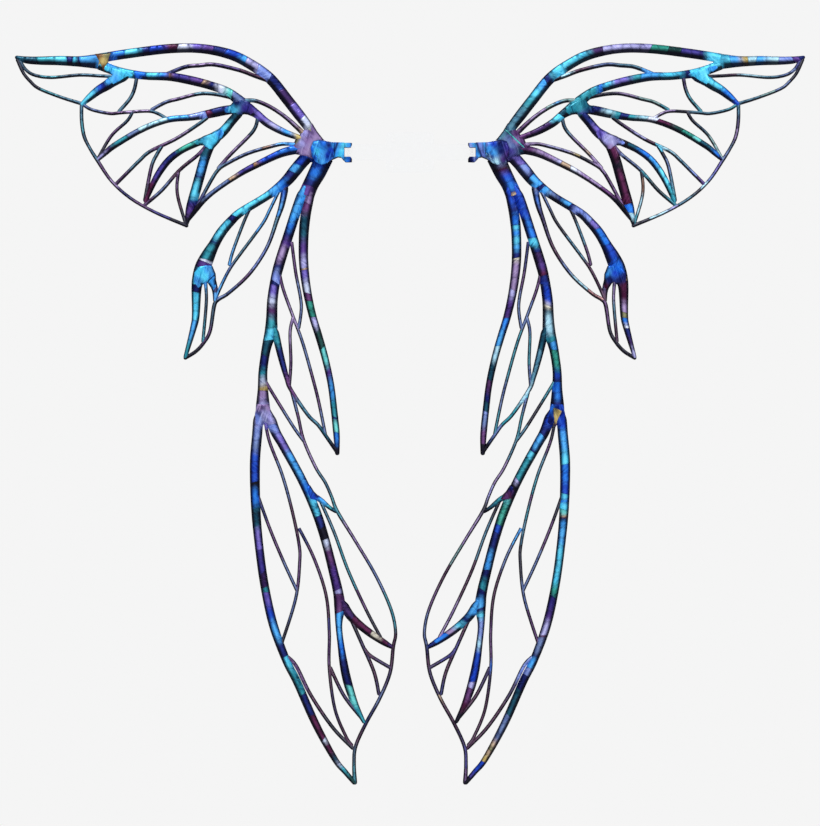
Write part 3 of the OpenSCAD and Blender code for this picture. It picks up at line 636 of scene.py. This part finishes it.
def ribbon(build, name, path, bands, mid, deep, side, vein):
    """Lofts one film-wrapped spar. side is 1 for +X and -1 for -X."""
    route = Route(path)
    rng = random.Random(sum(ord(c) * (i + 3) for i, c in enumerate(name)) + side)
    rings = stations(route, path, bands, rng, vein)
    step_h, lag = (0.14 if vein else 0.28), rng.uniform(0, 50)
    tip_r = half(path[-1][2]) if path[-1][2] < 7 else 0.0
    if tip_r:
        for f in (0.35, 0.65, 0.86, 0.97):
            rings.append((route.length + tip_r * f, 0.0, -f, rings[-1][3], False))
    free = {}
    for sign in (1, -1):
        raw = []
        for s, *_ in rings:
            (u, z, w), out = route.read(s)
            reach = sign * (half(w) + 0.9)
            raw.append(bare(u + out[0] * reach, z + out[1] * reach, name))
        near = [raw[max(i - 1, 0):i + 2] for i in range(len(raw))]
        free[sign] = [sum(values) / len(values) for values in near]
    (u, z, _), out = route.read(route.length)
    end_free = bare(u + out[1] * (tip_r + 1.0), z - out[0] * (tip_r + 1.0), name)
    ids = []
    for index, (s, shear, lift, colour, new) in enumerate(rings):
        ring, (base, _) = [], route.read(s)
        for k in range(AROUND):  # an ellipse, made a little squarer by the powers
            angle = 2 * math.pi * k / AROUND
            across = math.copysign(abs(math.sin(angle)) ** 0.92, math.sin(angle))
            depth = -math.copysign(abs(math.cos(angle)) ** 0.88, math.cos(angle))
            (u, z, w), out = route.read(s + across * half(base[2]) * shear)
            if name in TUCKED:
                w *= 0.42 + 0.58 * smoothstep(-0.2, 1.15, s / path[0][2])
            rise = step_h * max(lift, 0.0)
            grow = math.sqrt(max(1 - lift * lift, 0.0)) if lift < 0 else 1.0
            if lift < 0:
                u, z = u + out[1] * (s - route.length), z - out[0] * (s - route.length)
            h = half(w) * grow + rise * 0.25
            t = (min(deep, 0.40 * w + 1.1) + rise * 0.6) * grow
            sign = 1 if across > 0 else -1
            up = out[1] * sign  # 1 on an edge that looks up, -1 on one that looks down
            # Dark rims with painted shade: the rim is widest on an edge that faces down and narrowest on
            # one that faces up, and the rounded tip is painted dark as well
            start = (0.14 if vein else 0.28) + 0.36 * max(up, 0.0) + 0.50 * min(up, 0.0)
            ink = smoothstep(start, start + 0.6, abs(across) * (1 if lift >= 0 else grow))
            ink = (1 - (1 - ink) ** 2.0) * free[sign][index]
            if lift < 0:
                ink = max(ink, smoothstep(0.0, 1.0, -lift) * end_free)
            # Painted highlight: a light streak along the sleeve, moved towards its upper side
            painted_highlight = math.exp(-((across - 0.30 * out[1]) / 0.34) ** 2)
            place = (side * (u + out[0] * across * h) * MM, (mid + depth * t) * MM,
                     (z + out[1] * across * h) * MM)
            ring.append(build.vert(place, (s + lag, across * h, depth * t), ink, painted_highlight))
        ids.append((ring, colour, new))
    flip = side < 0
    for (r0, c0, _), (r1, c1, new) in zip(ids, ids[1:]):
        if new:
            c1 = c0
        if flip:
            r0, c0, r1, c1 = r1, c1, r0, c0
        for k in range(AROUND):
            j = (k + 1) % AROUND
            build.face((r0[k], r0[j], r1[j], r1[k]), c0, c0, c1, c1)
    first, last = ids[0], ids[-1]
    build.face(tuple(first[0] if flip else first[0][::-1]), first[1])
    build.face(tuple(last[0][::-1] if flip else last[0]), last[1])


# ------------------------------------------------------------------ domed plates
def sides(outline):
    return zip(outline, outline[1:] + outline[:1])


def edge_distance(p, outline):
    best = 1e9
    for (ax, ay), (bx, by) in sides(outline):
        dx, dy = bx - ax, by - ay
        t = max(0.0, min(1.0, ((p[0] - ax) * dx + (p[1] - ay) * dy) / (dx * dx + dy * dy)))
        best = min(best, math.hypot(p[0] - ax - t * dx, p[1] - ay - t * dy))
    return best


def inside(p, outline):
    hit = False
    for a, b in sides(outline):
        if (a[1] > p[1]) != (b[1] > p[1]) and \
                p[0] < (b[0] - a[0]) * (p[1] - a[1]) / (b[1] - a[1]) + a[0]:
            hit = not hit
    return hit


def ring_points(outline, fine):
    """Points over the inside of an outline: close rows near its edge, then a loose grid."""
    pts = [Vector(p) for p in fine]

    def put_in(q, kept):
        if inside(q, outline) and kept(edge_distance(q, outline)):
            pts.append(Vector(q))

    for r in EDGE_ROWS:
        for i in range(len(fine)):
            put_in(stepped(fine, i, r), lambda d: abs(d - r) < 0.12 * r + 0.05)
    lo, hi = ([pick(p[k] for p in fine) for k in (0, 1)] for pick in (min, max))
    for i in range(int((hi[0] - lo[0]) / GRID) + 1):
        for j in range(int((hi[1] - lo[1]) / GRID) + 1):
            put_in((lo[0] + (i + 0.5 * (j % 2)) * GRID, lo[1] + j * GRID), lambda d: d > 2.2)
    return pts


def stepped(fine, i, r):
    """The place r mm inside a fine outline from one of its points."""
    a, b = fine[i - 1], fine[(i + 1) % len(fine)]
    d = math.dist(a, b)
    return fine[i][0] - (b[1] - a[1]) / d * r, fine[i][1] + (b[0] - a[0]) / d * r


def fold_edges(outline, fold):
    """Where the two sides of a fold cross an outline: pairs of points."""
    fa, fb, *limits, _ = fold
    length = math.hypot(fa, fb)
    n = (fa / length, fb / length)
    for limit in limits:
        cuts = []
        for a, b in sides(outline):
            da = a[0] * n[0] + a[1] * n[1] - limit / length
            db = b[0] * n[0] + b[1] * n[1] - limit / length
            if da * db < 0:
                t = da / (da - db)
                cuts.append((a[0] + (b[0] - a[0]) * t, a[1] + (b[1] - a[1]) * t))
        cuts.sort(key=lambda c: c[0] * -n[1] + c[1] * n[0])
        yield from zip(cuts[::2], cuts[1::2])


def puffed(build, name, outline, mid, front, back, edge_r, seeds, folds, side, rim_ink=1.0):
    """Adds a closed plate with rounded edges, its outline given counter-clockwise."""
    outline = [tuple(map(float, p)) for p in outline]
    fine = []
    for a, b in sides(outline):
        n = max(1, round(math.dist(a, b) / 1.6))
        fine += [(a[0] + (b[0] - a[0]) * k / n, a[1] + (b[1] - a[1]) * k / n) for k in range(n)]
    count = len(fine)
    pts = ring_points(outline, fine)
    edges = [(i, (i + 1) % count) for i in range(count)]
    for fold in folds:
        for ends in fold_edges(outline, fold):
            pts += map(Vector, ends)
            edges.append((len(pts) - 2, len(pts) - 1))
    flat, _, faces = geometry.delaunay_2d_cdt(pts, edges, [list(range(count))], 1, 1e-4)[:3]
    lag = 7.0 * len(name)

    def seeded(p):
        weights = [1 / (math.dist(p, (u, z)) + 0.6) ** 3.5 for u, z, _ in seeds]
        total = sum(weights)
        return tuple(sum(w * COLOUR[c][k] for w, (_, _, c) in zip(weights, seeds)) / total
                     for k in range(3))

    tint = [seeded(p) for p in flat]
    rim_free = [bare(*stepped(fine, i, -1.0), name) for i in range(count)]
    centre = (sum(p[0] for p in fine) / count, sum(p[1] for p in fine) / count)
    layers = []
    for sign, deep in ((-1, front), (1, back)):
        layer = []
        for p in flat:
            d = edge_distance(p, outline)
            t = min(d / edge_r, 1.0)
            y = mid + sign * deep * math.sqrt(max(1 - (1 - t) ** 2.2, 0.0))
            if d < 1e-3:
                if sign == 1:
                    layer.append(layers[0][len(layer)])
                    continue
                y = mid
            near = min(range(count), key=lambda i: math.dist(fine[i], p))
            # Dark rim with painted shade, twice as wide along the lower half of the plate
            ink = 1 - smoothstep(0.3, 4.8 if p[1] < centre[1] else 2.4, d)
            ink = (1 - (1 - ink) ** 1.6) * rim_free[near] * rim_ink
            # Painted highlight: a light diagonal band through the middle of the plate
            painted_highlight = math.exp(-((p[0] + 0.6 * p[1] - centre[0] - 0.6 * centre[1]) / 5) ** 2) * t
            layer.append(build.vert((side * p[0] * MM, y * MM, p[1] * MM),
                                    ((p[0] + p[1]) * 0.5 + lag, (p[0] - p[1]) * 0.3, y),
                                    ink, 0.6 * painted_highlight))
        layers.append(layer)
    for face in faces:
        c = [sum(flat[i][k] for i in face) / len(face) for k in (0, 1)]
        area = sum(flat[face[i - 1]][0] * flat[face[i]][1] - flat[face[i]][0] * flat[face[i - 1]][1]
                   for i in range(len(face)))
        ring = list(face) if area > 0 else list(face)[::-1]
        if side < 0:
            ring.reverse()
        plain = [COLOUR[f[4]] for f in folds if f[2] < c[0] * f[0] + c[1] * f[1] < f[3]]
        for layer in layers:
            if layer is layers[0] or any(layers[0][i] != layer[i] for i in ring):
                colours = plain[:1] * len(ring) or [tint[i] for i in ring]
                build.face(tuple(layer[i] for i in ring), *colours)
            ring.reverse()


# ------------------------------------------------------------------ materials
class Nodes:
    """Short calls for building a node material."""

    def __init__(self, name):
        self.m = bpy.data.materials.new(name)
        self.m.use_nodes = True
        self.t = self.m.node_tree
        self.shader = self.t.nodes["Principled BSDF"]

    def add(self, kind, **settings):
        node = self.t.nodes.new(kind)
        for key, value in settings.items():
            setattr(node, key, value)
        return node

    def put(self, node, **values):
        """Sets or links inputs by name, with an underscore for each space."""
        for key, value in values.items():
            self.fill(node.inputs[key.replace("_", " ")], value)
        return node

    def fill(self, socket, value):
        if hasattr(value, "links"):
            self.t.links.new(value, socket)
        else:
            socket.default_value = value

    def attribute(self, name, output):
        node = self.add("ShaderNodeAttribute", attribute_name=name, attribute_type="GEOMETRY")
        return node.outputs[output]

    def place(self):
        return self.add("ShaderNodeTexCoord").outputs["Object"]

    def axes(self, vector):
        return self.put(self.add("ShaderNodeSeparateXYZ"), Vector=vector).outputs

    def scaled(self, source, scale, turn=0):
        node = self.add("ShaderNodeMapping")
        return self.put(node, Scale=scale, Rotation=(0, 0, turn), Vector=source).outputs["Vector"]

    def slanted(self, source, scale, turn):
        """Turned by an angle first and then scaled, so that a noise runs at a slant."""
        node = self.add("ShaderNodeMapping", vector_type="TEXTURE")
        self.put(node, Scale=tuple(1 / v for v in scale), Rotation=(0, 0, turn), Vector=source)
        return node.outputs["Vector"]

    def noise(self, vector, scale, detail=4.0):
        node = self.add("ShaderNodeTexNoise")
        self.put(node, Scale=scale, Detail=detail, Roughness=0.55, Vector=vector)
        return node.outputs["Fac"]

    def spread(self, value, low, high, to_low=0.0, to_high=1.0):
        node = self.add("ShaderNodeMapRange")
        self.put(node, From_Min=low, From_Max=high, To_Min=to_low, To_Max=to_high, Value=value)
        return node.outputs["Result"]

    def mix(self, factor, a, b, kind="MIX"):
        node = self.add("ShaderNodeMix", data_type="RGBA", blend_type=kind)
        for socket, value in ((node.inputs[0], factor), (node.inputs[6], a), (node.inputs[7], b)):
            self.fill(socket, (*value, 1) if isinstance(value, tuple) else value)
        return node.outputs[2]

    def maths(self, kind, a, b=0.5):
        node = self.add("ShaderNodeMath", operation=kind)
        self.fill(node.inputs[0], a)
        self.fill(node.inputs[1], b)
        return node.outputs[0]

    def bump(self, height, strength, distance):
        node = self.put(self.add("ShaderNodeBump"), Strength=strength, Distance=distance,
                        Height=height)
        self.put(self.shader, Normal=node.outputs["Normal"])


def film_body(n, base, lay, ink, painted_highlight):
    """Pearlescent film: soft streaks, fine grain and creases painted darker in their hollows and lighter on
    their ridges, a painted highlight along the turn, and dark rims with painted shade.
    """
    streak = n.noise(n.scaled(lay, (0.055, 0.17, 0.2), 0.3), 1.0, 2.0)
    fine = n.noise(n.scaled(lay, (0.14, 0.9, 0.5), 0.6), 1.0, 3.0)
    crease = n.noise(n.slanted(lay, (0.62, 0.07, 0.2), 0.75), 1.0, 2.0)
    highlight_streaks = n.noise(n.scaled(lay, (0.045, 0.02, 0.05), 0.2), 1.0, 3.0)
    rich = n.mix(1.0, base, (0.88, 0.90, 1.0), "MULTIPLY")
    # A paler copy of the film's colour, used for the painted highlights
    highlight_base = n.put(n.add("ShaderNodeGamma"), Color=base, Gamma=0.66)
    light = n.mix(1.0, highlight_base.outputs["Color"], (1.12, 1.15, 1.15), "MULTIPLY")
    # A darker copy, for the streaks and for the painted shade in the hollows
    dark = n.mix(1.0, base, (0.12, 0.12, 0.24), "MULTIPLY")
    c = n.mix(n.spread(streak, 0.50, 0.30, 0.0, 0.95), rich, dark)
    # Painted shade and highlight: the fine grain and the creases are darker where their bumps dip and
    # lighter where they rise
    c = n.mix(n.spread(fine, 0.47, 0.30, 0.0, 0.4), c, dark)
    c = n.mix(n.spread(fine, 0.55, 0.72, 0.0, 0.3), c, light)
    c = n.mix(n.spread(crease, 0.43, 0.33, 0.0, 0.75), c, dark)
    c = n.mix(n.spread(crease, 0.57, 0.68, 0.0, 0.6), c, light)
    # Painted highlight, broken into streaks along the sleeve
    c = n.mix(n.maths("MULTIPLY", painted_highlight, n.spread(highlight_streaks, 0.42, 0.60, 0.2, 0.9)), c, light)
    # Dark rims with painted shade, nearly black where the rim value is full
    c = n.mix(ink, c, n.mix(0.97, c, (0.002, 0.0015, 0.006)))
    rough = n.maths("ADD", n.spread(fine, 0.3, 0.7, 0.22, 0.42), n.maths("MULTIPLY", ink, 0.35))
    n.put(n.shader, Base_Color=c, Roughness=rough, Metallic=0.18, Specular_IOR_Level=0.08,
          Coat_Weight=0.04, Coat_Roughness=0.18)
    height = n.maths("ADD", n.maths("MULTIPLY", crease, 0.9), n.maths("MULTIPLY", fine, 0.5))
    n.bump(height, 0.35, 0.0004)
    return n.m


def film_material():
    n = Nodes("film")
    return film_body(n, n.attribute("band", "Color"), n.attribute("lay", "Vector"),
                     n.attribute("ink", "Fac"), n.attribute("painted_highlight", "Fac"))


def stub_material(name, stops):
    """Film on a CAD piece, in bands across the object's own outward direction."""
    n = Nodes(name)
    place = n.place()
    axes = n.axes(place)
    tilt = n.maths("ADD", n.maths("ABSOLUTE", axes["X"]), n.maths("MULTIPLY", axes["Z"], 0.35))
    ramp = n.put(n.add("ShaderNodeValToRGB"),
                 Fac=n.spread(tilt, HUB_FROM * MM, (HUB_FROM + HUB_SPAN) * MM))
    ramp.color_ramp.interpolation = "EASE"
    elements = ramp.color_ramp.elements
    while len(elements) < len(stops):
        elements.new(0.5)
    for e, (u, colour) in zip(elements, stops):
        e.position = (u - HUB_FROM) / HUB_SPAN
        e.color = (*COLOUR[colour], 1)
    facing = n.axes(n.add("ShaderNodeNewGeometry").outputs["Normal"])
    # Dark rims with painted shade where the surface turns away from front and back
    ink = n.spread(n.maths("ABSOLUTE", facing["Y"]), 0.95, 0.45)
    # Painted highlight: lighter towards the top of the piece
    painted_highlight = n.spread(axes["Z"], -0.002, 0.006, 0.0, 0.5)
    return film_body(n, ramp.outputs["Color"], n.scaled(place, (500, 500, 300)), ink, painted_highlight)


def grained(name, grain_of, dark, light, rough, bump, **uniform):
    """A plain material with a fine grain in its colour, its roughness and its surface."""
    n = Nodes(name)
    grain = grain_of(n)
    n.put(n.shader, Base_Color=n.mix(grain, dark, light), Roughness=n.spread(grain, 0.3, 0.7, *rough),
          **uniform)
    n.bump(grain, *bump)
    return n.m


FILM = film_material()
STEEL = grained("steel", lambda n: n.noise(n.scaled(n.place(), (400, 4000, 400)), 1.0, 4.0),
                (0.36, 0.37, 0.39), (0.62, 0.63, 0.65), (0.25, 0.42), (0.2, 0.0001), Metallic=1.0)
WASHER = grained("washer", lambda n: n.noise(n.place(), 900.0, 3.0),
                 (0.62, 0.62, 0.6), (0.78, 0.78, 0.76), (0.5, 0.7), (0.15, 0.0001))
CLEAR = grained("clear_sheet", lambda n: n.noise(n.place(), 45.0, 3.0),
                (0.74, 0.77, 0.79), (0.82, 0.84, 0.85), (0.04, 0.12), (0.05, 0.0002), Alpha=0.04)

# ------------------------------------------------------------------ wings
def film_piece(build, name, node, body):
    """Makes the film of one CAD node, which moves with a body and fills a material slot."""
    obj = build.make(name, FILM)
    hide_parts(node)
    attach(obj, body)


def dress(obj, material, bevel, segments):
    """Gives a CAD piece its material and soft edges."""
    obj.data.materials.clear()
    obj.data.materials.append(material)
    soft = obj.modifiers.new("soft_edges", "BEVEL")
    soft.width, soft.segments, soft.limit_method = bevel * MM, segments, "ANGLE"


for _, name, path, _, _ in RIBBONS:
    route = Route(path)
    for k in range(int(route.length / 1.5) + 1):
        (u, z, w), _ = route.read(k * 1.5)
        cover(u, z, half(w), name)
for u, z, r in ((110, 0, 13), (122, 10, 12), (132, 12, 11), (126, 22, 9), (104, 2, 11), (92, 2, 9)):
    cover(u, z, r, "plates")
for name, _, _, outline, _ in WEBS:
    for u in range(int(min(p[0] for p in outline)), int(max(p[0] for p in outline)) + 1):
        for z in range(int(min(p[1] for p in outline)), int(max(p[1] for p in outline)) + 1):
            if inside((u, z), outline):
                cover(u, z, 0.8, name)

EYE = [(110 + 13 * math.cos(math.radians(a)), 13 * math.sin(math.radians(a)))
       for a in range(122, 308, 8)]
FAN = [(118, -10), (130, -5), (143, -3), (147, 6), (143, 16), (134, 26), (122, 36), (116, 26),
       (109, 17)]
SHIELD = [(94, -7.5), (97, -9), (103, -14), (110, -16.5), (118, -13), (123, -5), (124, 5),
          (121, 13), (114, 15), (104, 13.5), (94, 11.5)]
for side, word in ((1, "right"), (-1, "left")):
    for node in dict.fromkeys(row[0] for row in RIBBONS):
        fore = node.startswith("forewing")
        mid = FORE_MID if fore else HIND_MID
        thin = "vein" in node or "wire" in node or "spurs" in node
        build = Build()
        for home, name, path, right, left in RIBBONS:
            if home == node:
                ribbon(build, name, path, right if side == 1 else left, mid,
                       VEIN_DEEP if thin else SPAR_DEEP, side, thin)
        for name, home, deep, outline, seeds in WEBS:
            if home == node and word in seeds:
                folds = WEB_FOLDS.get((name, word), [])
                puffed(build, name, outline, mid, deep, WEB_BACK, WEB_EDGE, seeds[word], folds, side)
        kind = "vein" if "vein" in node or "wire" in node else node.split("_")[0]
        film_piece(build, word + "_" + node + "_film", word + "_" + node,
                   word + ("_forewing" if fore else "_wing"))

    build = Build()
    puffed(build, "plates", EYE + FAN, FORE_MID, 3.2, 3.0, 5.0, *PLATES[word + "_root"], side)
    film_piece(build, word + "_root_plate_film", word + "_forewing_root_plate",
               word + "_forewing")
    build = Build()
    puffed(build, "plates", SHIELD, FRONT_MID, 3.2, 0.0, 5.5, *PLATES[word + "_front"], side, 0.3)
    film_piece(build, word + "_front_plate_film", word + "_hub_front_plate", word + "_wing")
    hub_film = stub_material(word + "_hub_film", HUB_STOPS[word])
    dress(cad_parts[word + "_root_hub"], hub_film, 1.1, 3)

for name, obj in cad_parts.items():
    if "stud" in name or "screws" in name:
        dress(obj, STEEL, 0.25, 2)
    elif "washers" in name:
        dress(obj, WASHER, 0.25, 2)
    elif name in ("back_yoke", "hinge_pins"):
        dress(obj, CLEAR, 0.25, 2)

# ------------------------------------------------------------------ studio
scene = bpy.context.scene
middle = Vector((0.0, 0.0, (cad_low[2] + cad_high[2]) / 2))


def place_object(name, data, location=(0, 0, 0)):
    obj = bpy.data.objects.new(name, data)
    obj.location = location
    scene.collection.objects.link(obj)
    return obj


def lamp(name, place, size, power, colour=(1, 1, 1)):
    """A round lamp that looks at the middle of the wings."""
    data = bpy.data.lights.new(name, "AREA")
    data.shape, data.size, data.energy, data.color = "DISK", size, power, colour
    obj = place_object(name, data, place)
    obj.rotation_euler = (middle - Vector(place)).to_track_quat("-Z", "Y").to_euler()


floor = bpy.data.meshes.new("floor")
rim = [(FLOOR_R * math.cos(math.radians(a)), FLOOR_R * math.sin(math.radians(a)), FLOOR_Z)
       for a in range(0, 360, 5)]
floor.from_pydata(rim, [], [tuple(range(len(rim)))])
n = Nodes("floor")
speck = n.noise(n.place(), 3.0)
n.put(n.shader, Base_Color=n.mix(speck, (0.86, 0.86, 0.86), (0.90, 0.90, 0.90)), Roughness=0.8)
floor.materials.append(n.m)
place_object("floor", floor)

# The camera sees a plain pale backdrop, and the wings are lit by a cooler sky
scene.world = bpy.data.worlds.new("studio")
scene.world.use_nodes = True
tree = scene.world.node_tree
seen, lit = tree.nodes["Background"], tree.nodes.new("ShaderNodeBackground")
seen.inputs["Color"].default_value = (0.913, 0.913, 0.913, 1)
lit.inputs["Color"].default_value = (0.80, 0.88, 1.0, 1)
lit.inputs["Strength"].default_value = 0.42
path, both = tree.nodes.new("ShaderNodeLightPath"), tree.nodes.new("ShaderNodeMixShader")
for source, socket in ((path.outputs["Is Camera Ray"], both.inputs[0]), (lit.outputs[0], both.inputs[1]),
                       (seen.outputs[0], both.inputs[2]),
                       (both.outputs[0], tree.nodes["World Output"].inputs["Surface"])):
    tree.links.new(source, socket)

lamp("key", (-0.8, -2.0, 2.4), 0.9, 78)
lamp("side", (2.0, -2.2, 1.0), 0.8, 30, (0.85, 0.93, 1.0))
lamp("back", (0.4, 2.4, 1.4), 1.4, 45)

camera = bpy.data.cameras.new("camera")
camera.lens, camera.sensor_width, camera.sensor_fit = 135.0, 36.0, "AUTO"
away = VIEW_TALL * camera.lens / camera.sensor_width
scene.camera = place_object("camera", camera, (0.0, -away, middle[2] + 0.0017))
scene.camera.rotation_euler = (math.pi / 2, 0, 0)
scene.view_settings.view_transform = "Standard"
